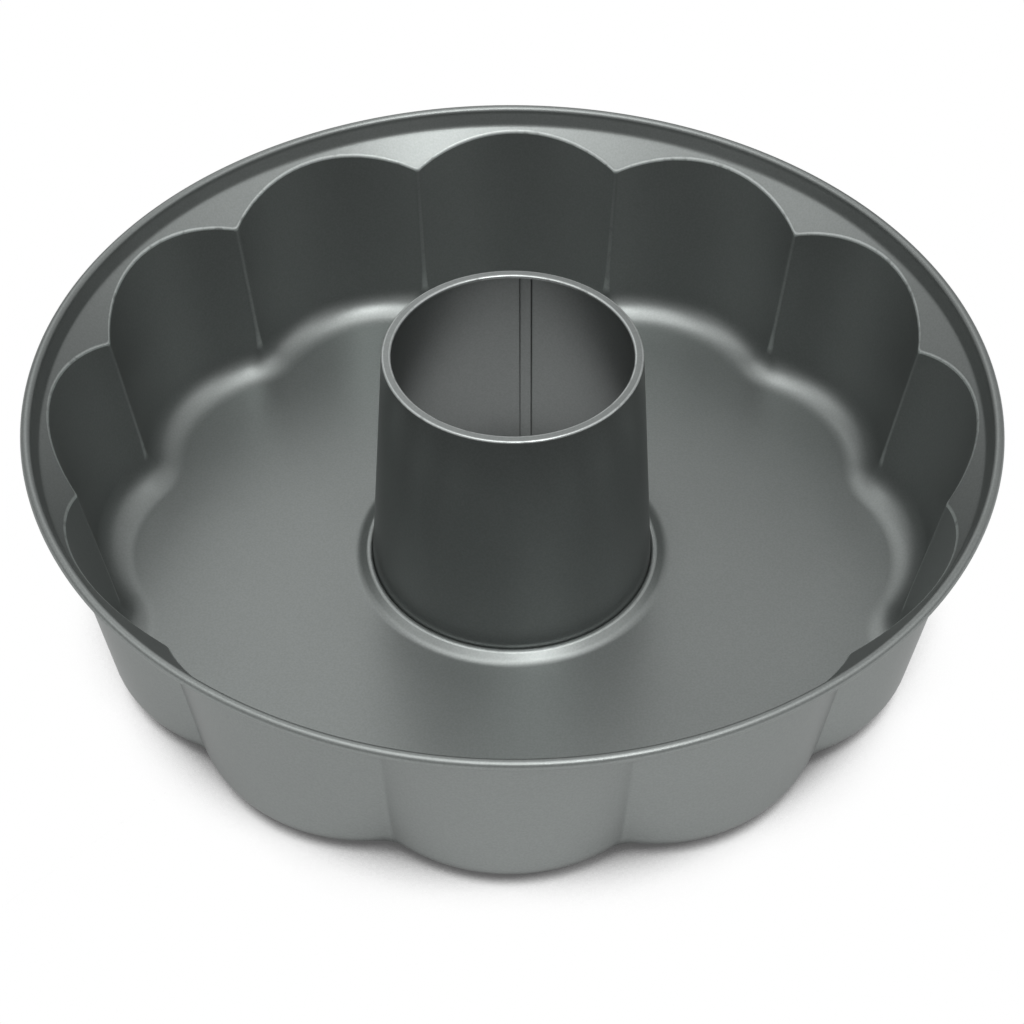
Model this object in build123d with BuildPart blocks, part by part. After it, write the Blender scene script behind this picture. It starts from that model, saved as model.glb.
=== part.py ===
from build123d import *
import os
from math import cos, radians, sin, sqrt, tan

os.makedirs("parts", exist_ok=True)

# A scalloped ring-cake pan.  All sizes are in mm.  The pan rests on z = 0 with
# its axis on Z and the middle of one lobe on +Y.

# Sheet and running clearances
sheet_t = 0.5
seam_gap = 0.05
wire_gap = 0.05

# Overall sizes
rim_r = 140.0
rim_top_z = 69.0
tube_top_z = 80.4

# Rolled rim: the sheet curls outward over a wire
bead_r = 1.5
bead_sweep = 300.0
bead_mid_r = rim_r - bead_r
bead_mid_z = rim_top_z - bead_r
bead_in_r = bead_mid_r - bead_r
wire_r = bead_r - sheet_t - wire_gap

# Step and conical ledge below the rim
step_lean = 1.4
step_h = 4.3
ledge_slope = 45.0
ledge_r = bead_in_r - step_lean
ledge_z = bead_mid_z - step_h
ledge_run = 1 / tan(radians(ledge_slope))

# Lobed wall: twelve tapered arcs round the axis, each of lobe_r at the ledge's height
lobe_count = 12
lobe_r = 56.4
lobe_margin = 1.3
wall_draft = 7.7
floor_fillet = 11.0
lobe_half_angle = radians(180 / lobe_count)
lobe_mid_r = ledge_r - lobe_margin - lobe_r
wall_slope = tan(radians(wall_draft))
wedge_overrun = 1.2
wedge_r = wedge_overrun * rim_r
wedge_half_w = wedge_r * tan(lobe_half_angle)
# The lobes' outside stops in the middle of the ledge's sheet
lobe_top_z = ledge_z - (lobe_margin - sheet_t / 2) / (ledge_run - wall_slope)
# The ledge's sheet starts well inside the cusps between the lobes, and is cut back to the wall
ledge_overlap = 4.9
cusp_r = lobe_mid_r * cos(lobe_half_angle) + sqrt(lobe_r**2 - (lobe_mid_r * sin(lobe_half_angle))**2)
ledge_end_r = cusp_r - ledge_overlap
ledge_end_z = ledge_z - (ledge_r - ledge_end_r) / ledge_run

# Centre tube
tube_foot_r = 42.9
tube_taper = 5.5
tube_top_r = tube_foot_r - tube_taper
# Flat hem: the sheet bends in over the top and folds back under itself
hem_w = 2.8
hem_r = 0.6
hem_bend_r = tube_top_r - hem_r
hem_fold_r = tube_top_r - hem_w + hem_r
hem_mid_z = tube_top_z - hem_r

# Double seam that locks the tube to the pan's lip, stacked from the foot up
foot_clear = 0.55
hook_len = 0.3
foot_leg_z = foot_clear + sheet_t
neck_leg_z = foot_leg_z + seam_gap + sheet_t
hook_top_z = neck_leg_z + seam_gap
neck_r = tube_foot_r + seam_gap + sheet_t
neck_leg_r = neck_r + hook_len
hook_r = neck_leg_r + seam_gap

# Raised seat over the seam, with a ramp down to the floor
seat_land = 1.45
seat_slope = 36.0
seat_apron = 7.1
seat_under_z = hook_top_z + sheet_t + seam_gap
seat_top_r = tube_foot_r + seat_land
seat_ramp_r = seat_top_r + seat_under_z / tan(radians(seat_slope))
seat_join_r = seat_ramp_r + seat_apron

# Lock seam up the inside of the tube, between the seat and the hem
lock_w = 3.2
lock_t = 0.9
lock_bite = 0.25
lock_angle = 90.0 - 5.4
lock_foot_gap = 0.8
lock_top_gap = 0.4
lock_foot_z = seat_under_z + lock_foot_gap
lock_top_z = tube_top_z - 2 * hem_r - lock_top_gap
lock_out = sheet_t - lock_bite
lock_in = sheet_t + lock_t


def lobe_radius(z, grow):
    """Radius of one lobe's wall at height z, grown outward by the given sheet."""
    return lobe_r - (ledge_z - z) * wall_slope + grow / cos(radians(wall_draft))


def tube_radius(z):
    """Outer radius of the centre tube's cone at height z."""
    return tube_top_r + tube_taper * (hem_mid_z - z) / (hem_mid_z - foot_leg_z)


# One lobe's share of the circle.
with BuildPart() as lobe_wedge:
    with BuildSketch(Plane.XY):
        with BuildLine():
            Polyline((0, 0), (wedge_half_w, wedge_r), (-wedge_half_w, wedge_r), close=True)
        make_face()
    extrude(amount=rim_top_z)

# Outside of one lobe: a drafted cup cut to its wedge.
with BuildPart() as lobe_outside:
    with BuildSketch(Plane.XZ.offset(-lobe_mid_r)) as cup_profile:
        with BuildLine():
            Polyline(
                (0, 0),
                (lobe_radius(0, sheet_t), 0),
                (lobe_radius(lobe_top_z, sheet_t), lobe_top_z),
                (0, lobe_top_z),
                close=True,
            )
        make_face()
        fillet(cup_profile.vertices().sort_by(Axis.Y)[:2].sort_by(Axis.X)[-1], floor_fillet + sheet_t)
    revolve(axis=Axis((0, lobe_mid_r, 0), (0, 0, 1)))
    add(lobe_wedge.part, mode=Mode.INTERSECT)

# Inside of one lobe: the same cup, one sheet smaller.
with BuildPart() as lobe_inside:
    with BuildSketch(Plane.XZ.offset(-lobe_mid_r)) as cup_profile:
        with BuildLine():
            Polyline(
                (0, sheet_t),
                (lobe_radius(sheet_t, 0), sheet_t),
                (lobe_radius(ledge_z, 0), ledge_z),
                (0, ledge_z),
                close=True,
            )
        make_face()
        fillet(cup_profile.vertices().sort_by(Axis.Y)[:2].sort_by(Axis.X)[-1], floor_fillet)
    revolve(axis=Axis((0, lobe_mid_r, 0), (0, 0, 1)))
    add(lobe_wedge.part, mode=Mode.INTERSECT)

# Pan shell: one pressed sheet from the rolled rim to the hooked lip at the middle.
with BuildPart() as pan_shell:
    with PolarLocations(0, lobe_count):
        add(lobe_outside.part)
    with BuildSketch(Plane.XY):
        Circle(lobe_mid_r)
    extrude(amount=lobe_top_z)
    # Ledge cone, step wall and rolled rim, before the lobes are hollowed
    with BuildSketch(Plane.XZ):
        with BuildLine():
            Polyline((ledge_end_r, ledge_end_z), (ledge_r, ledge_z), (bead_in_r, bead_mid_z))
            CenterArc((bead_mid_r, bead_mid_z), bead_r, 180, -bead_sweep)
            offset(amount=sheet_t, side=Side.RIGHT, kind=Kind.INTERSECTION, closed=True)
        make_face()
    revolve(axis=Axis.Z)
    # Hollow: the twelve lobes, the round core and the space above the ledge
    with PolarLocations(0, lobe_count):
        add(lobe_inside.part, mode=Mode.SUBTRACT)
    with BuildSketch(Plane.XY.offset(sheet_t)):
        Circle(lobe_mid_r)
    extrude(amount=rim_top_z, mode=Mode.SUBTRACT)
    with BuildSketch(Plane.XZ):
        with BuildLine():
            Polyline(
                (0, ledge_end_z),
                (ledge_end_r, ledge_end_z),
                (ledge_r, ledge_z),
                (0, ledge_z),
                close=True,
            )
        make_face()
    revolve(axis=Axis.Z, mode=Mode.SUBTRACT)
    # Raised seat with a lip that hooks down and out
    with BuildSketch(Plane.XY):
        Circle(seat_join_r)
    extrude(amount=sheet_t, mode=Mode.SUBTRACT)
    with BuildSketch(Plane.XZ):
        with BuildLine():
            Polyline(
                (seat_join_r, 0),
                (seat_ramp_r, 0),
                (seat_top_r, seat_under_z),
                (neck_r, seat_under_z),
                (neck_r, neck_leg_z),
                (neck_leg_r, neck_leg_z),
            )
            offset(amount=sheet_t, side=Side.RIGHT, closed=True)
        make_face()
    revolve(axis=Axis.Z)
pan_shell.part.label = "pan_shell"
export_step(pan_shell.part, "parts/pan_shell.step")

# Rim wire: the round core inside the rolled rim.
with BuildPart() as rim_wire:
    with BuildSketch(Plane.XZ):
        with Locations((bead_mid_r, bead_mid_z)):
            Circle(wire_r)
    revolve(axis=Axis.Z)
rim_wire.part.label = "rim_wire"
export_step(rim_wire.part, "parts/rim_wire.step")

# Centre tube: a conical sleeve, hemmed inward at the top and hooked round the
# pan's lip at the foot, closed by a lock seam up the inside.
with BuildPart() as centre_tube:
    with BuildSketch(Plane.XZ):
        with BuildLine():
            Polyline(
                (neck_r + seam_gap, hook_top_z),
                (hook_r, hook_top_z),
                (hook_r, foot_leg_z),
                (tube_foot_r, foot_leg_z),
                (tube_top_r, hem_mid_z),
            )
            CenterArc((hem_bend_r, hem_mid_z), hem_r, 0, 90)
            Line((hem_bend_r, tube_top_z), (hem_fold_r, tube_top_z))
            CenterArc((hem_fold_r, hem_mid_z), hem_r, 90, 180)
            offset(amount=sheet_t, side=Side.LEFT, closed=True)
        make_face()
    revolve(axis=Axis.Z)
    with BuildSketch(Plane.XZ.rotated((0, 0, lock_angle))):
        with BuildLine():
            Polyline(
                (tube_radius(lock_foot_z) - lock_out, lock_foot_z),
                (tube_radius(lock_top_z) - lock_out, lock_top_z),
                (tube_radius(lock_top_z) - lock_in, lock_top_z),
                (tube_radius(lock_foot_z) - lock_in, lock_foot_z),
                close=True,
            )
        make_face()
    extrude(amount=lock_w / 2, both=True)
centre_tube.part.label = "centre_tube"
export_step(centre_tube.part, "parts/centre_tube.step")

for piece in (pan_shell, rim_wire, centre_tube):
    box = piece.part.bounding_box()
    print(piece.part.label, len(piece.part.solids()), piece.part.is_valid,
          [round(v, 2) for v in (*box.min, *box.max)], round(piece.part.volume))
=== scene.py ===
# %% [markdown]
# # A scalloped ring-cake pan
#
# The pan is pressed from one thin steel sheet: a flat floor, twelve rounded lobes
# for a wall, a sloping ledge above them and a rim rolled over a wire. A conical
# tube stands in the middle, so that heat reaches the inside of the cake.
# A imported CAD model fixes every size. This lesson dresses it: each sheet is built
# again as one smooth skin with its soft press radii, and gets its dark satin
# coating. First the imported model is loaded, and the boxes of its pieces give sizes.

# %% Load the imported model
import math

import bpy
import numpy as np
from mathutils import Matrix, Vector


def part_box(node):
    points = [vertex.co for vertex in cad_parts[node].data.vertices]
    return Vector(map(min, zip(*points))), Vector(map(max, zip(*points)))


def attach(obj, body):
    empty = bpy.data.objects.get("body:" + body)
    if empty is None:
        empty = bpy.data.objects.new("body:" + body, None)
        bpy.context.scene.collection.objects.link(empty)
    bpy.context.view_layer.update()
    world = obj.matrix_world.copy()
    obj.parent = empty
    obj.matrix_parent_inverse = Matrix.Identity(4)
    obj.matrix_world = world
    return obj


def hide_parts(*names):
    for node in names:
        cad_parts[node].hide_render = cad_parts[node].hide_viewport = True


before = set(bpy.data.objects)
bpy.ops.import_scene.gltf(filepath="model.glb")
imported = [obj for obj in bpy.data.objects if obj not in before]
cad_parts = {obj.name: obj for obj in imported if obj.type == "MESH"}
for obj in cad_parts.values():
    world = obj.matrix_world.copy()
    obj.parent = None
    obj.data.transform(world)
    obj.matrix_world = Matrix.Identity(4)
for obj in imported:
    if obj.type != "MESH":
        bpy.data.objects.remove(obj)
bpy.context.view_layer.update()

# %% [markdown]
# ## The sizes
#
# Blender works in metres and press tools are drawn in millimetres, so MM turns one
# into the other. The rim's, the wire's and the tube's places are read from the
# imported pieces. The rest are the press tool's own radii, angles and steps.

# %% Sizes of the pan
MM = 0.001
SHEET_T = 0.5 * MM
SEAM_GAP = 0.05 * MM

_, shell_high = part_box("pan_shell")
wire_low, wire_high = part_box("rim_wire")
tube_low, tube_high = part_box("centre_tube")

RIM_R = shell_high.x
BEAD_MID_Z = (wire_low.z + wire_high.z) / 2
BEAD_R = shell_high.z - BEAD_MID_Z
BEAD_MID_R = RIM_R - BEAD_R
BEAD_SWEEP = math.radians(300)

# A steep step leads down from the rim to the ledge. The ledge runs in as far as it
# falls, so its slope is 45 degrees.
STEP_LEAN = 1.4 * MM
STEP_H = 4.3 * MM
LEDGE_R = BEAD_MID_R - BEAD_R - STEP_LEAN
LEDGE_Z = BEAD_MID_Z - STEP_H
LEDGE_RUN = 1.0

LOBE_COUNT = 12
LOBE_PITCH = 2 * math.pi / LOBE_COUNT
LOBE_R = 56.4 * MM
LOBE_MARGIN = 1.3 * MM
LOBE_MID_R = LEDGE_R - LOBE_MARGIN - LOBE_R
WALL_DRAFT = math.radians(7.7)
FLOOR_FILLET = 11 * MM
print(f"rim radius {RIM_R / MM:.2f} mm, lobe axes on radius {LOBE_MID_R / MM:.2f} mm")

# %% Sizes of the tube and of the double seam at its foot
TUBE_TOP_Z = tube_high.z
TUBE_FOOT_R = 42.9 * MM
TUBE_TAPER = 5.5 * MM
TUBE_TOP_R = TUBE_FOOT_R - TUBE_TAPER
HEM_W = 2.8 * MM
HEM_R = 0.6 * MM
HEM_MID_Z = TUBE_TOP_Z - HEM_R

# The seam's layers, stacked from the tube's foot up
HOOK_LEN = 0.3 * MM
FOOT_LEG_Z = tube_low.z + SHEET_T
NECK_LEG_Z = FOOT_LEG_Z + SEAM_GAP + SHEET_T
HOOK_TOP_Z = NECK_LEG_Z + SEAM_GAP
NECK_R = TUBE_FOOT_R + SEAM_GAP + SHEET_T
NECK_LEG_R = NECK_R + HOOK_LEN
HOOK_R = NECK_LEG_R + SEAM_GAP

# The seat over the seam, with its ramp down to the floor
SEAT_LAND = 1.45 * MM
SEAT_SLOPE = math.radians(36)
SEAT_APRON = 7.1 * MM
SEAT_Z = HOOK_TOP_Z + SEAM_GAP + 2 * SHEET_T
SEAT_TOP_R = TUBE_FOOT_R + SEAT_LAND
SEAT_RAMP_R = SEAT_TOP_R + (SEAT_Z - SHEET_T) / math.tan(SEAT_SLOPE)
FLOOR_START_R = SEAT_RAMP_R + SEAT_APRON
print(f"seat {SEAT_Z / MM:.2f} mm high, tube {TUBE_TOP_Z / MM:.1f} mm high")

# %% [markdown]
# ## Skins from grids
#
# Every sheet here is a grid of points: rows run along the sheet's profile, columns
# run round the axis. A sheet has two faces and two edges, so its rows go out along
# one face and come back along the other, and the grid closes on itself like a ring.
# The second face is the first one moved along its own normals by the thickness. A
# Solidify modifier could thicken a face too. Here every point keeps its row and its
# column instead, so the wear of the edges can be worked out from the same grid.

# %% Helpers for grids


def tangents(points, axis, wrap):
    """Direction of the grid's lines at each point. Each is the circle through the
    point and its two neighbours: the step ahead and the step behind, each divided
    by its own length and weighted by the other's."""
    ahead = np.roll(points, -1, axis) - points
    behind = points - np.roll(points, 1, axis)
    if not wrap:
        first = [slice(None)] * 3
        last = [slice(None)] * 3
        first[axis], last[axis] = 0, -1
        behind[tuple(first)] = ahead[tuple(first)]
        ahead[tuple(last)] = behind[tuple(last)]
    ahead_len = np.linalg.norm(ahead, axis=2, keepdims=True)
    behind_len = np.linalg.norm(behind, axis=2, keepdims=True)
    mix = ahead / ahead_len * behind_len + behind / behind_len * ahead_len
    return mix / np.linalg.norm(mix, axis=2, keepdims=True)


def thick_sheet(face, thickness):
    """Closes a face, rows x columns x 3, into a sheet: the face's rows, then the
    same rows moved by the thickness along the cross product of the two grid
    directions, in reverse order."""
    across = np.cross(tangents(face, 1, True), tangents(face, 0, False))
    across /= np.linalg.norm(across, axis=2, keepdims=True)
    return np.concatenate([face, (face + across * thickness)[::-1]])


def shares_between(runs):
    """Even shares of a length that is cut into so many runs, without its ends."""
    return np.linspace(0, 1, runs + 1)[1:-1, None]


def spin(radius, height, directions):
    """Points at a radius and a height in each direction round the axis."""
    x = radius * np.cos(directions)
    y = radius * np.sin(directions)
    return np.stack([x, y, height * np.ones_like(x)], axis=2)


def rounded_path(corners, radii, steps=7):
    """Points along straight runs through the corners, with each inner corner
    replaced by an arc: its centre lies on the corner's bisector, and its points
    turn evenly from one run to the next."""
    corners = np.array(corners)
    path = [corners[:1]]
    share = np.linspace(0, 1, steps)[:, None]
    for before, here, after, radius in zip(corners, corners[1:], corners[2:], radii):
        back = (before - here) / np.linalg.norm(before - here)
        on = (after - here) / np.linalg.norm(after - here)
        half = math.acos(np.clip(back @ on, -1, 1)) / 2
        centre = here + (back + on) / np.linalg.norm(back + on) * radius / math.sin(half)
        start = here + back * radius / math.tan(half) - centre
        end = here + on * radius / math.tan(half) - centre
        turn = math.pi - 2 * half
        arc = (np.sin((1 - share) * turn) * start + np.sin(share * turn) * end) / math.sin(turn)
        path.append(centre + arc)
    path.append(corners[-1:])
    return np.concatenate(path)


def grid_piece(name, points, closed_rows=True):
    """A piece from a grid of points: each point is joined to the next row and the
    next column. Columns always wrap round. Rows wrap too, or end in a flat cap."""
    rows, columns = points.shape[:2]
    index = np.arange(rows * columns).reshape(rows, columns)
    here = index if closed_rows else index[:-1]
    above = np.roll(index, -1, 0) if closed_rows else index[1:]
    quads = np.stack([here, np.roll(here, -1, 1), np.roll(above, -1, 1), above], axis=2)
    quads = quads.reshape(-1, 4)
    faces = quads.tolist()
    if not closed_rows:
        faces.append(index[0, ::-1].tolist())
        faces.append(index[-1].tolist())
    # The volume that the quads enclose is negative where they look inwards.
    flat = points.reshape(-1, 3)
    a, b, c, d = (flat[quads[:, k]] for k in range(4))
    volume = np.einsum("ij,ij->i", a + b + c + d, np.cross(c - a, d - b)).sum()
    if volume < 0:
        faces = [face[::-1] for face in faces]
    mesh = bpy.data.meshes.new(name)
    mesh.from_pydata(flat, [], faces)
    mesh.polygons.foreach_set("use_smooth", np.ones(len(faces), bool))
    mesh.update()
    piece = bpy.data.objects.new(name, mesh)
    bpy.context.scene.collection.objects.link(piece)
    print(f"{name}: {rows} rows x {columns} columns, {len(faces)} faces")
    return piece


# %% [markdown]
# ## The lobed wall
#
# Seen from above, the wall is twelve arcs, each about its own lobe's axis. Where two
# meet, a ridge points inwards, and a press can't make it sharp. So the wall's reach
# is a smooth maximum of two circles: the column's own lobe and its neighbour. Near
# the floor the sheet has to flow round a second bend, so there the press is rounder
# still and the ridge runs out in a soft wave. The same smooth maximum joins the wall
# to the ledge, and its opposite bends the ledge into the step below the rim. One
# formula then gives every press radius.

# %% The wall's reach
CUSP_ROUND = 0.9 * MM
FOOT_CUSP_ROUND = 9 * MM
FOOT_CUSP_RISE = 12 * MM
ARCH_ROUND = 0.5 * MM
STEP_ROUND = 0.35 * MM


def smooth_max(a, b, width):
    """The larger of two values. Where they differ by less than width, the square of
    what is left of it, over four widths, is added, which rounds the corner."""
    left = np.maximum(width - np.abs(a - b), 0)
    return np.maximum(a, b) + left**2 / (4 * width)


def circle_reach(angle, lobe_r):
    """Distance from the pan's axis to the far side of a lobe's circle: the lobe
    axis's distance along the direction, plus the chord's half."""
    along = LOBE_MID_R * np.cos(angle)
    aside = LOBE_MID_R * np.sin(angle)
    return along + np.sqrt(np.maximum(lobe_r**2 - aside**2, 0))


def cusp_round(height):
    """Width of the ridge's rounding: large on the floor, and it falls with the
    square of what is left of the rise to the ridge's own small rounding."""
    left = np.clip(1 - (height - SHEET_T) / FOOT_CUSP_RISE, 0, 1)
    return CUSP_ROUND + (FOOT_CUSP_ROUND - CUSP_ROUND) * left**2


def lobed_reach(angle, lobe_r, height):
    """Smooth maximum of a direction's own lobe and the next one, a pitch away."""
    own = circle_reach(angle, lobe_r)
    neighbour = circle_reach(LOBE_PITCH - np.abs(angle), lobe_r)
    return smooth_max(own, neighbour, cusp_round(height))


def wall_reach(angle, height):
    """Reach of the drafted wall: its lobes grow by the draft's slope with height."""
    return lobed_reach(angle, LOBE_R - (LEDGE_Z - height) * math.tan(WALL_DRAFT), height)


def ledge_reach(height):
    """Reach of the ledge's cone, which falls inwards at 45 degrees."""
    return LEDGE_R - (LEDGE_Z - height) * LEDGE_RUN


def step_reach(height):
    """Reach of the steep step between the ledge's edge and the rolled rim."""
    lean = (BEAD_MID_R - BEAD_R - LEDGE_R) / (BEAD_MID_Z - LEDGE_Z)
    return LEDGE_R + (height - LEDGE_Z) * lean


def side_reach(angle, height):
    """Wall, ledge and step in one: the smaller of ledge and step is the funnel
    above the lobes, and the larger of wall and funnel is the pan's side."""
    funnel = -smooth_max(-ledge_reach(height), -step_reach(height), STEP_ROUND)
    return smooth_max(wall_reach(angle, height), funnel, ARCH_ROUND)


# %% [markdown]
# ## Columns and rows
#
# A column is a direction round the axis. The ridges between the lobes are tight and
# the lobes are wide, so the columns crowd towards the ridges. The rows do the same
# near the arch, where the wall runs into the ledge: its height differs from column
# to column, so the rows follow it and never cut across the edge.

# %% Columns round the pan
LOBE_COLUMNS = 36
COLUMN_CROWDING = 0.8

even = np.linspace(-1, 1, LOBE_COLUMNS, endpoint=False)
crowded = even + COLUMN_CROWDING * np.sin(math.pi * even) / math.pi
lobe_angle = np.tile(crowded * LOBE_PITCH / 2, LOBE_COUNT)
lobe_start = np.repeat(np.arange(LOBE_COUNT) * LOBE_PITCH, LOBE_COLUMNS)
pan_directions = (math.pi / 2 + lobe_start + lobe_angle)[None, :]
print(len(lobe_angle), "columns round the pan")

# %% Where the wall meets the ledge
ARCH_SPAN = 20 * MM


def arch_height(angle, halvings=30):
    """Height where a column's wall runs into the ledge, by halving the span that
    holds it: below the arch the wall reaches further than the ledge."""
    low = np.full_like(angle, LEDGE_Z - ARCH_SPAN)
    high = np.full_like(angle, LEDGE_Z)
    for _ in range(halvings):
        middle = (low + high) / 2
        is_wall = wall_reach(angle, middle) > ledge_reach(middle)
        low = np.where(is_wall, middle, low)
        high = np.where(is_wall, high, middle)
    return (low + high) / 2


arch_z = arch_height(lobe_angle)
print(f"arches from {arch_z.min() / MM:.1f} to {arch_z.max() / MM:.1f} mm high")

# %% Rows of the pressed sheet's upper face
LIP_ROUND = 0.45 * MM
NECK_ROUND = 0.85 * MM
SEAT_ROUND = 1.8 * MM
RAMP_ROUND = 4.5 * MM
# Rows at these distances below the arch, shares of the ledge's height and distances
# from the ledge's edge up the step
BELOW_ARCH = np.array([12, 7, 4, 2.6, 1.8, 1.2, 0.8, 0.5, 0.25, 0])[:, None] * MM
LEDGE_SHARES = np.array([0.03, 0.07, 0.12, 0.18, 0.26, 0.38, 0.54, 0.7, 0.84, 0.93, 1])[:, None]
UP_STEP = np.array([-0.15, 0.05, 0.3, 0.7, 1.5, 2.6, 3.6])[:, None] * MM


def seat_rows():
    """Radius and height along the lip that hooks under the tube's foot, the raised
    seat and its ramp. Where the ramp bends, the upper face bends further out than
    the lower one, by the thickness times the tangent of half the slope."""
    ramp_shift = SHEET_T * math.tan(SEAT_SLOPE / 2)
    corners = [
        (NECK_LEG_R, NECK_LEG_Z - SHEET_T),
        (NECK_R - SHEET_T, NECK_LEG_Z - SHEET_T),
        (NECK_R - SHEET_T, SEAT_Z),
        (SEAT_TOP_R + ramp_shift, SEAT_Z),
        (SEAT_RAMP_R + ramp_shift, SHEET_T),
        (FLOOR_START_R, SHEET_T),
    ]
    return rounded_path(corners, [LIP_ROUND, NECK_ROUND, SEAT_ROUND, RAMP_ROUND])


def fillet_rows(steps=15):
    """Lobe radius and height along the floor's fillet, which turns from flat to
    the drafted wall."""
    turn = np.linspace(0, math.pi / 2 - WALL_DRAFT, steps)
    centre_z = SHEET_T + FLOOR_FILLET
    wall_r = LOBE_R - (LEDGE_Z - centre_z) * math.tan(WALL_DRAFT)
    centre_r = wall_r - FLOOR_FILLET / math.cos(WALL_DRAFT)
    lobe_r = centre_r + FLOOR_FILLET * np.sin(turn)
    height = centre_z - FLOOR_FILLET * np.cos(turn)
    return lobe_r[:, None], height[:, None]


def side_heights(start_z):
    """Heights of the rows from the fillet up to the rim: even on the wall, close
    together on both sides of the arch, and again where the ledge bends up."""
    wall = start_z + (arch_z - BELOW_ARCH[0] - start_z) * shares_between(runs=5)
    ledge = arch_z + (LEDGE_Z - STEP_ROUND - arch_z) * LEDGE_SHARES
    step = LEDGE_Z + UP_STEP + 0 * arch_z
    return np.concatenate([wall, arch_z - BELOW_ARCH, ledge, step])


def bead_rows(steps=30):
    """Radius and height along the rolled rim's circle: up from the step, over the
    top and round under."""
    turn = math.pi - np.linspace(0, BEAD_SWEEP, steps)[:, None]
    return BEAD_MID_R + BEAD_R * np.cos(turn), BEAD_MID_Z + BEAD_R * np.sin(turn)


# %% The pan's sheet
seat = seat_rows()
fillet_lobe_r, fillet_z = fillet_rows()
fillet_r = lobed_reach(lobe_angle, fillet_lobe_r, fillet_z)
floor_r = FLOOR_START_R + (fillet_r[0] - FLOOR_START_R) * shares_between(runs=8)
side_z = side_heights(fillet_z[-1, 0])
bead_r, bead_z = bead_rows()

pan_face = np.concatenate([
    spin(seat[:, :1], seat[:, 1:], pan_directions),
    spin(floor_r, SHEET_T, pan_directions),
    spin(fillet_r, fillet_z, pan_directions),
    spin(side_reach(lobe_angle, side_z), side_z, pan_directions),
    spin(bead_r, bead_z, pan_directions),
])
pan_points = thick_sheet(pan_face, SHEET_T)
pan_sheet = grid_piece("pan_sheet", pan_points)
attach(pan_sheet, "root")
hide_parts("pan_shell")

# %% [markdown]
# ## The tube
#
# The tube is a second sheet, rolled to a cone and locked into the pan: its foot
# hooks round the pan's lip. Its top is hemmed: the sheet bends in over the edge and
# folds back under itself, so that no raw edge shows and the mouth stays round. A
# Screw modifier could turn this profile round the axis. The grid gives it its sheet
# and its wear by the same steps as the pan, and even columns do, as it is round.

# %% The tube's sheet
TUBE_COLUMNS = 256
FOOT_ROUND = 0.08 * MM


def hem_arc(middle_r, start, sweep, steps):
    """Radius and height along one bend of the hem, a circle about its middle. Its
    start and its sweep are in degrees."""
    turn = np.radians(np.linspace(start, start + sweep, steps))
    return np.stack([middle_r + HEM_R * np.cos(turn), HEM_MID_Z + HEM_R * np.sin(turn)], axis=1)


foot_corners = [
    (NECK_R + SEAM_GAP, HOOK_TOP_Z),
    (HOOK_R, HOOK_TOP_Z),
    (HOOK_R, FOOT_LEG_Z),
    (TUBE_FOOT_R, FOOT_LEG_Z),
    (TUBE_TOP_R, HEM_MID_Z),
]
foot_path = rounded_path(foot_corners, [FOOT_ROUND] * 3)
bend_path = hem_arc(TUBE_TOP_R - HEM_R, start=0, sweep=90, steps=9)
fold_path = hem_arc(TUBE_TOP_R - HEM_W + HEM_R, start=90, sweep=180, steps=15)
tube_path = np.concatenate([
    foot_path[:-1],
    foot_path[-2] + (foot_path[-1] - foot_path[-2]) * shares_between(runs=11),
    bend_path,
    bend_path[-1] + (fold_path[0] - bend_path[-1]) * shares_between(runs=4),
    fold_path,
])
tube_directions = np.linspace(0, 2 * math.pi, TUBE_COLUMNS, endpoint=False)[None, :]
tube_face = spin(tube_path[:, :1], tube_path[:, 1:], tube_directions)
tube_points = thick_sheet(tube_face, -SHEET_T)
tube_sheet = grid_piece("tube_sheet", tube_points)
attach(tube_sheet, "root")
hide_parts("centre_tube")

# %% [markdown]
# ## The lock seam
#
# A rolled tube is closed by folding its two edges into each other and pressing them
# flat. Inside, that leaves a raised strip from foot to hem. Its folds are round, so
# a narrow dark crevice runs up each side of it. It could be bent into the tube's own
# grid, but a piece of its own needs far fewer columns. The strip is a flat bar with
# fully round sides, carried straight up the cone. A close pair of rows at each end
# keeps the shading of the flat ends off its face.

# %% The lock seam's strip
LOCK_W = 3.8 * MM
LOCK_T = 0.95 * MM
LOCK_BITE = 0.08 * MM
LOCK_ANGLE = math.radians(90 - 5.4)
LOCK_FOOT_GAP = 0.3 * MM
LOCK_FOOT_Z = SEAT_Z + LOCK_FOOT_GAP
LOCK_TOP_Z = TUBE_TOP_Z - 2 * HEM_R - SEAM_GAP
LOCK_END = 0.03 * MM
LOCK_ROWS = 9
FOLD_STEPS = 9


def tube_reach(height):
    """Outer radius of the tube's cone at a height."""
    run = (HEM_MID_Z - height) / (HEM_MID_Z - FOOT_LEG_Z)
    return TUBE_TOP_R + (TUBE_FOOT_R - TUBE_TOP_R) * run


fold_r = (LOCK_T + LOCK_BITE) / 2
fold_turn = np.linspace(-math.pi / 2, math.pi / 2, FOLD_STEPS)
fold_side = LOCK_W / 2 - fold_r + fold_r * np.cos(fold_turn)
fold_depth = LOCK_T - fold_r + fold_r * np.sin(fold_turn)
lock_side = np.concatenate([fold_side, -fold_side[::-1]])[None, :]
lock_depth = np.concatenate([fold_depth, fold_depth[::-1]])[None, :]
lock_rows = np.linspace(LOCK_FOOT_Z + LOCK_END, LOCK_TOP_Z - LOCK_END, LOCK_ROWS)
lock_z = np.concatenate([[LOCK_FOOT_Z], lock_rows, [LOCK_TOP_Z]])[:, None]
lock_in = tube_reach(lock_z) - SHEET_T - lock_depth
lock_points = np.stack([
    lock_in * math.cos(LOCK_ANGLE) - lock_side * math.sin(LOCK_ANGLE),
    lock_in * math.sin(LOCK_ANGLE) + lock_side * math.cos(LOCK_ANGLE),
    lock_z + 0 * lock_in,
], axis=2)
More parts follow.
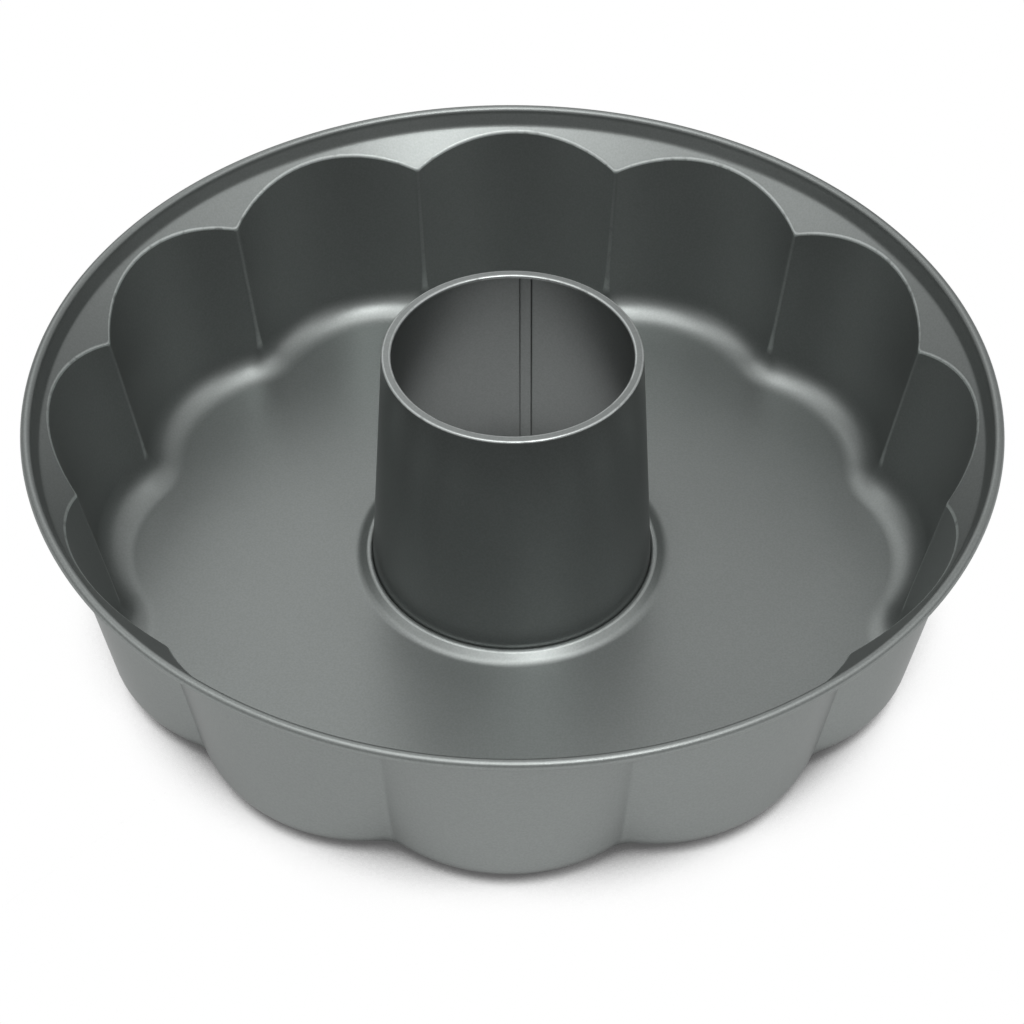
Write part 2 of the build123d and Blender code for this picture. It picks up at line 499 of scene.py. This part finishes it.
lock_seam = grid_piece("lock_seam", lock_points, closed_rows=False)
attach(lock_seam, "root")

# %% [markdown]
# ## Where hands and cloths touch, and painted edge highlights
#
# Ridges, arches and the hem stand out, so they are touched most and their coat is
# polished there. Their tone is also raised far past what wear gives, which is a
# painted highlight: the bright lines that light draws along these round edges.
# Blender's Pointiness could find them, but it changes with how finely a mesh is cut.
# So the edge value comes from the sheet's bend: a skin that curves outwards with a
# small radius is an edge. It is kept at each point, times a share for the part that
# the point lies on, which sets both its wear and its painted highlight. The arches
# meet every spoon and cloth and wear fully. The ridges below them and the hem wear a
# little over half as much, and the raised seat less. The rim is rolled wide and
# smooth and the lock seam lies inside the tube, so both keep nearly all of their coat
# and show little painted highlight.

# %% Edge values from the bend of the skin
EDGE_RADIUS = 2.0 * MM
ARCH_BAND = 1.0 * MM
# Each part's share sets both the wear of its edges and the strength of their painted highlight.
SEAT_WEAR_AND_SHEEN = 0.4
RIDGE_WEAR_AND_SHEEN = 0.55
RIM_WEAR_AND_SHEEN = 0.1
HEM_WEAR_AND_SHEEN = 0.6
SEAM_WEAR_AND_SHEEN = 0.2


def bend(points, axis):
    """Curvature along the grid's lines: the change of direction from the step
    behind to the step ahead, over the mean length of the two steps."""
    ahead = np.roll(points, -1, axis) - points
    behind = points - np.roll(points, 1, axis)
    ahead_len = np.linalg.norm(ahead, axis=2, keepdims=True)
    behind_len = np.linalg.norm(behind, axis=2, keepdims=True)
    return 2 * (ahead / ahead_len - behind / behind_len) / (ahead_len + behind_len)


def mark_edges(piece, points, wear):
    """Stores each point's edge value: the larger outward bend of the two grid
    directions, times the radius of a full edge, kept between 0 and 1, times the
    wear share, which sets the painted edge highlight as well."""
    normal = np.empty(points.size)
    piece.data.vertices.foreach_get("normal", normal)
    normal = normal.reshape(points.shape)
    outward = [-(bend(points, axis) * normal).sum(axis=2) for axis in (0, 1)]
    edge = np.clip(np.maximum(*outward) * EDGE_RADIUS, 0, 1) * wear
    layer = piece.data.attributes.new("edge", "FLOAT", "POINT")
    layer.data.foreach_set("value", edge.ravel().astype(np.float32))
    print(f"{piece.name}: {100 * (edge > 0.5).mean():.0f}% of its points lie on edges")


pan_wear_and_sheen = np.ones(pan_points.shape[:2])
pan_wear_and_sheen[:len(seat)] = SEAT_WEAR_AND_SHEEN
side_start = len(seat) + len(floor_r) + len(fillet_z)
side_wear_and_sheen = pan_wear_and_sheen[side_start:side_start + len(side_z)]
side_wear_and_sheen[side_z < arch_z - ARCH_BAND] = RIDGE_WEAR_AND_SHEEN
# The bead's rows end the first face and start the second.
pan_wear_and_sheen[len(pan_face) - len(bead_z):len(pan_face) + len(bead_z)] = RIM_WEAR_AND_SHEEN
mark_edges(pan_sheet, pan_points, pan_wear_and_sheen)
mark_edges(tube_sheet, tube_points, HEM_WEAR_AND_SHEEN)
mark_edges(lock_seam, lock_points, SEAM_WEAR_AND_SHEEN)

# %% [markdown]
# ## The coating
#
# The sheet is coated with a dark satin release coat that holds fine metal flakes.
# Part of the light soaks in and comes back evenly, and part is mirrored softly by
# the flakes. At a grazing angle the flakes hide one another, so the coat stays dark
# there instead of turning to a mirror. Up close the coat has a fine orange peel with
# pale specks. Over the whole pan its tone drifts a little. Painted images could hold
# all this, but noise from nodes stays sharp at any distance. All materials share
# three effects, each built once as a node group: drift, grain and the polishing of
# edges, which also paints a highlight on them.

# %% Node helpers


def node_group(name, inputs, outputs):
    """An empty shader node group with named sockets. Returns the tree, the sockets
    that bring its inputs and the sockets that take its outputs."""
    tree = bpy.data.node_groups.new(name, "ShaderNodeTree")
    for socket_name, kind in inputs.items():
        tree.interface.new_socket(name=socket_name, in_out="INPUT", socket_type=kind)
    for socket_name, kind in outputs.items():
        tree.interface.new_socket(name=socket_name, in_out="OUTPUT", socket_type=kind)
    return tree, tree.nodes.new("NodeGroupInput").outputs, tree.nodes.new("NodeGroupOutput").inputs


def feed(tree, socket, value):
    """Sets an input socket to a number, or links another socket to it."""
    if isinstance(value, (int, float)):
        socket.default_value = value
    else:
        tree.links.new(value, socket)


def noise(tree, place, waves, detail):
    """A noise texture from 0 to 1 at a place, with its waves counted per metre."""
    node = tree.nodes.new("ShaderNodeTexNoise")
    feed(tree, node.inputs["Vector"], place)
    feed(tree, node.inputs["Scale"], waves)
    feed(tree, node.inputs["Detail"], detail)
    return node.outputs["Fac"]


def calculate(tree, operation, *values):
    """A math node on numbers or sockets."""
    node = tree.nodes.new("ShaderNodeMath")
    node.operation = operation
    for socket, value in zip(node.inputs, values):
        feed(tree, socket, value)
    return node.outputs["Value"]


def ranged(tree, value, low, high, to_low=0.0, to_high=1.0, ease="LINEAR"):
    """Maps low..high to to_low..to_high, and stops at both ends."""
    node = tree.nodes.new("ShaderNodeMapRange")
    node.interpolation_type = ease
    limits = {"From Min": low, "From Max": high, "To Min": to_low, "To Max": to_high}
    for name, number in limits.items():
        feed(tree, node.inputs[name], number)
    feed(tree, node.inputs["Value"], value)
    return node.outputs["Result"]


def scaled(tree, colour, factor):
    """A colour times a number."""
    node = tree.nodes.new("ShaderNodeVectorMath")
    node.operation = "SCALE"
    feed(tree, node.inputs[0], colour)
    feed(tree, node.inputs["Scale"], factor)
    return node.outputs["Vector"]


NUMBER, PLACE, COLOUR = "NodeSocketFloat", "NodeSocketVector", "NodeSocketColor"

# %% Drift: a slow change of tone and gloss
drift, given, result = node_group(
    "tone_drift", {"Place": PLACE, "Waves": NUMBER, "Amount": NUMBER}, {"Factor": NUMBER}
)
clouds = noise(drift, given["Place"], given["Waves"], detail=3)
swing = ranged(drift, clouds, low=0.3, high=0.7, to_low=-1, to_high=1)
feed(drift, result["Factor"], calculate(drift, "MULTIPLY_ADD", swing, given["Amount"], 1))

# %% Grain: orange peel and pale specks
grain, given, result = node_group(
    "coat_grain",
    {"Place": PLACE, "Waves": NUMBER, "Amount": NUMBER},
    {"Factor": NUMBER, "Height": NUMBER},
)
peel = noise(grain, given["Place"], given["Waves"], detail=2)
speck = ranged(grain, peel, low=0.35, high=0.65, to_low=-1, to_high=1)
feed(grain, result["Factor"], calculate(grain, "MULTIPLY_ADD", speck, given["Amount"], 1))
feed(grain, result["Height"], peel)

# %% Polish and painted highlight: edges made smoother and lighter in patches, partly by wear and partly as a painted highlight
polish_and_sheen, given, result = node_group(
    "edge_polish_and_sheen",
    {"Edge": NUMBER, "Place": PLACE, "Waves": NUMBER, "Tone": COLOUR, "Worn Tone": COLOUR,
     "Roughness": NUMBER, "Worn Roughness": NUMBER},
    {"Tone": COLOUR, "Roughness": NUMBER},
)
scuffs = noise(polish_and_sheen, given["Place"], given["Waves"], detail=3)
patches = ranged(polish_and_sheen, scuffs, low=0.2, high=0.45)
edges = ranged(polish_and_sheen, given["Edge"], low=0.3, high=0.9)
# This share lightens the tone as well: partly real wear, partly a painted highlight along the edges.
worn_and_sheen = calculate(polish_and_sheen, "MULTIPLY", edges, patches)
tone = polish_and_sheen.nodes.new("ShaderNodeMix")
tone.data_type = "RGBA"
feed(polish_and_sheen, tone.inputs["Factor"], worn_and_sheen)
colours = [socket for socket in tone.inputs if socket.type == "RGBA"]
feed(polish_and_sheen, colours[0], given["Tone"])
feed(polish_and_sheen, colours[1], given["Worn Tone"])
mixed_tone = next(socket for socket in tone.outputs if socket.type == "RGBA")
feed(polish_and_sheen, result["Tone"], mixed_tone)
rough_step = calculate(polish_and_sheen, "SUBTRACT", given["Worn Roughness"], given["Roughness"])
rough = calculate(polish_and_sheen, "MULTIPLY_ADD", rough_step, worn_and_sheen, given["Roughness"])
feed(polish_and_sheen, result["Roughness"], rough)
print("effects:", [group.name for group in bpy.data.node_groups])

# %% A material with all three effects
DRIFT_WAVES = 14.0
PATCH_WAVES = 260.0
GRAIN_WAVES = 1600.0
# Edges reach three times the coat's tone, more than wear alone gives: this paints bright highlight
# lines along the round edges.
WORN_AND_SHEEN_TONE = 3.0
WORN_ROUGHNESS = 0.85
GRAZING_TINT = 0.65
PEEL_STRENGTH = 0.1
PEEL_DEPTH = 0.05 * MM


def place_group(tree, group, **values):
    """A group in a material, with its inputs set by name: Worn_Tone is Worn Tone."""
    node = tree.nodes.new("ShaderNodeGroup")
    node.node_tree = group
    for name, value in values.items():
        socket = node.inputs[name.replace("_", " ")]
        if isinstance(value, tuple):
            socket.default_value = (*value, 1)
        else:
            feed(tree, socket, value)
    return node.outputs


def coated(name, tone, metal, roughness, drift_amount, grain_amount):
    """A coated surface. Its tone is the polished tone, with its painted edge
    highlight, times drift times grain, and its roughness is the polished roughness
    times drift. The metal share splits the tone between an even glow and a soft mirror."""
    material = bpy.data.materials.new(name)
    material.use_nodes = True
    tree = material.node_tree
    shader = tree.nodes["Principled BSDF"].inputs
    shader["Metallic"].default_value = metal
    shader["Specular Tint"].default_value = (GRAZING_TINT, GRAZING_TINT, GRAZING_TINT, 1)
    place = tree.nodes.new("ShaderNodeTexCoord").outputs["Object"]
    edge = tree.nodes.new("ShaderNodeAttribute")
    edge.attribute_name = "edge"
    rubbed_and_sheen = place_group(
        tree, polish_and_sheen, Edge=edge.outputs["Fac"], Place=place, Waves=PATCH_WAVES,
        Tone=tone, Worn_Tone=tuple(t * WORN_AND_SHEEN_TONE for t in tone),
        Roughness=roughness, Worn_Roughness=roughness * WORN_ROUGHNESS,
    )
    slow = place_group(tree, drift, Place=place, Waves=DRIFT_WAVES, Amount=drift_amount)
    fine = place_group(tree, grain, Place=place, Waves=GRAIN_WAVES, Amount=grain_amount)
    factor = calculate(tree, "MULTIPLY", slow["Factor"], fine["Factor"])
    feed(tree, shader["Base Color"], scaled(tree, rubbed_and_sheen["Tone"], factor))
    feed(tree, shader["Roughness"], calculate(tree, "MULTIPLY", rubbed_and_sheen["Roughness"], slow["Factor"]))
    bump = tree.nodes.new("ShaderNodeBump")
    bump.inputs["Strength"].default_value = PEEL_STRENGTH
    bump.inputs["Distance"].default_value = PEEL_DEPTH
    feed(tree, bump.inputs["Height"], fine["Height"])
    feed(tree, shader["Normal"], bump.outputs["Normal"])
    return material


# %% Coat the sheets and draw the wire
COAT_TONE = (0.247, 0.263, 0.257)
TUBE_TONE = (0.244, 0.258, 0.254)
WIRE_TONE = (0.55, 0.55, 0.54)
COAT_METAL = 0.87
COAT_ROUGHNESS = 0.37
TUBE_ROUGHNESS = 0.33
COAT_DRIFT = 0.04
COAT_GRAIN = 0.05
WIRE_METAL = 1.0
WIRE_ROUGHNESS = 0.3
WIRE_DRIFT = 0.05
WIRE_GRAIN = 0.03

pan_coat = coated("pan_coat", COAT_TONE, COAT_METAL, COAT_ROUGHNESS, COAT_DRIFT, COAT_GRAIN)
tube_coat = coated("tube_coat", TUBE_TONE, COAT_METAL, TUBE_ROUGHNESS, COAT_DRIFT, COAT_GRAIN)
wire_steel = coated("wire_steel", WIRE_TONE, WIRE_METAL, WIRE_ROUGHNESS, WIRE_DRIFT, WIRE_GRAIN)
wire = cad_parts["rim_wire"]
wire.data.materials.clear()
for piece, material in (
    (pan_sheet, pan_coat), (tube_sheet, tube_coat), (lock_seam, tube_coat), (wire, wire_steel)
):
    piece.data.materials.append(material)
print("materials:", [material.name for material in bpy.data.materials])

# %% [markdown]
# ## Floor, background and light
#
# The pan stands on a plain white sweep. Close to the pan the sweep darkens with the
# share of the sky that the pan hides, which is its contact shadow. The room is dim
# at its walls and brighter at its ceiling, and a large soft lamp hangs overhead, so
# what faces up is light and the upright walls stay dark. A small key lamp at the
# front right draws the crisp gleam on the floor's round edge and on the seat. Weak
# lamps at the sides and behind open the shadows, and the pan's floor mirrors the
# last one as a calm grey.

# %% Floor and world
SWEEP_HALF = 6.0
SWEEP_WHITE = 0.8
SWEEP_ROUGHNESS = 0.9
CONTACT_REACH = 60 * MM
HIDDEN_SKY, OPEN_SKY = 0.27, 0.56
SHADOW_WHITE = 0.1
WALL_LIGHT = 0.32
CEILING_LIGHT = 0.72


def seen_straight(tree):
    """1 for what the camera sees itself, in a mirror or through glass, else 0."""
    path = tree.nodes.new("ShaderNodeLightPath").outputs
    seen = calculate(tree, "MAXIMUM", path["Is Camera Ray"], path["Is Glossy Ray"])
    return calculate(tree, "MAXIMUM", seen, path["Is Transmission Ray"])


sweep_mesh = bpy.data.meshes.new("studio_sweep")
corner_signs = [(-1, -1), (1, -1), (1, 1), (-1, 1)]
corner_places = [(x * SWEEP_HALF, y * SWEEP_HALF, 0) for x, y in corner_signs]
sweep_mesh.from_pydata(corner_places, [], [(0, 1, 2, 3)])
studio_sweep = bpy.data.objects.new("studio_sweep", sweep_mesh)
bpy.context.scene.collection.objects.link(studio_sweep)

sweep_paper = bpy.data.materials.new("white_paper")
sweep_paper.use_nodes = True
tree = sweep_paper.node_tree
paper = tree.nodes["Principled BSDF"]
paper.inputs["Base Color"].default_value = (SWEEP_WHITE, SWEEP_WHITE, SWEEP_WHITE, 1)
paper.inputs["Roughness"].default_value = SWEEP_ROUGHNESS
sky_seen = tree.nodes.new("ShaderNodeAmbientOcclusion")
sky_seen.inputs["Distance"].default_value = CONTACT_REACH
white_screen = tree.nodes.new("ShaderNodeEmission")
shade = ranged(tree, sky_seen.outputs["AO"], HIDDEN_SKY, OPEN_SKY, SHADOW_WHITE, 1, "SMOOTHSTEP")
feed(tree, white_screen.inputs["Strength"], shade)
either = tree.nodes.new("ShaderNodeMixShader")
feed(tree, either.inputs["Fac"], seen_straight(tree))
feed(tree, either.inputs[1], paper.outputs["BSDF"])
feed(tree, either.inputs[2], white_screen.outputs["Emission"])
feed(tree, tree.nodes["Material Output"].inputs["Surface"], either.outputs["Shader"])
sweep_mesh.materials.append(sweep_paper)

world = bpy.data.worlds.new("white_studio")
world.use_nodes = True
tree = world.node_tree
background = tree.nodes["Background"].inputs
background["Color"].default_value = (1, 1, 1, 1)
direction = tree.nodes.new("ShaderNodeSeparateXYZ")
feed(tree, direction.inputs["Vector"], tree.nodes.new("ShaderNodeTexCoord").outputs["Generated"])
room_light = ranged(tree, direction.outputs["Z"], 0, 1, WALL_LIGHT, CEILING_LIGHT)
feed(tree, background["Strength"], room_light)
bpy.context.scene.world = world

# %% Lamps
LAMP_DISTANCE = 1.5


def softbox(name, turn, rise, side, brightness):
    """A flat square lamp that looks at the pan. Turn is its direction round the axis
    from the front and rise its height over the floor, both in degrees. Its power is
    its brightness, compared with a white wall, times pi times its area."""
    lamp = bpy.data.lights.new(name, "AREA")
    lamp.shape = "SQUARE"
    lamp.size = side
    lamp.energy = brightness * math.pi * side**2
    lamp_object = bpy.data.objects.new(name, lamp)
    out = math.cos(math.radians(rise)) * LAMP_DISTANCE
    place = Vector((
        out * math.sin(math.radians(turn)),
        -out * math.cos(math.radians(turn)),
        math.sin(math.radians(rise)) * LAMP_DISTANCE,
    ))
    look = place.to_track_quat("Z", "Y").to_matrix().to_4x4()
    lamp_object.matrix_world = Matrix.Translation(place) @ look
    bpy.context.scene.collection.objects.link(lamp_object)
    print(f"{name}: {lamp.energy:.1f} W at {tuple(round(v, 2) for v in place)}")


softbox("overhead", turn=0, rise=77, side=1.3, brightness=1.85)
softbox("key", turn=28, rise=62, side=0.4, brightness=6.2)
softbox("left", turn=-90, rise=50, side=0.8, brightness=0.8)
softbox("right", turn=90, rise=45, side=0.8, brightness=0.6)
softbox("back", turn=-163, rise=43, side=0.8, brightness=0.55)

# %% [markdown]
# ## The camera
#
# The pan is seen from about forty-five degrees above, close by, so that the near
# rim looks larger than the far one. The camera is turned and rolled by under half a
# degree, as a camera held by hand is.

# %% Camera
CAMERA_PLACE = Vector((3.89, -474.47, 488.72)) * MM
CAMERA_TILT = math.radians(45.14)
CAMERA_PAN = 0.0082
CAMERA_ROLL = 0.0043
# Sensor and lens are in millimetres, as Blender gives them.
SENSOR_WIDTH = 36
CAMERA_LENS = 77.34

camera_data = bpy.data.cameras.new("camera")
camera_data.sensor_width = SENSOR_WIDTH
camera_data.lens = CAMERA_LENS
camera = bpy.data.objects.new("camera", camera_data)
aim = Matrix.Rotation(CAMERA_PAN, 4, "Z") @ Matrix.Rotation(CAMERA_TILT, 4, "X")
camera.matrix_world = Matrix.Translation(CAMERA_PLACE) @ aim @ Matrix.Rotation(CAMERA_ROLL, 4, "Z")
bpy.context.scene.collection.objects.link(camera)
bpy.context.scene.camera = camera
bpy.context.scene.view_settings.view_transform = "Standard"
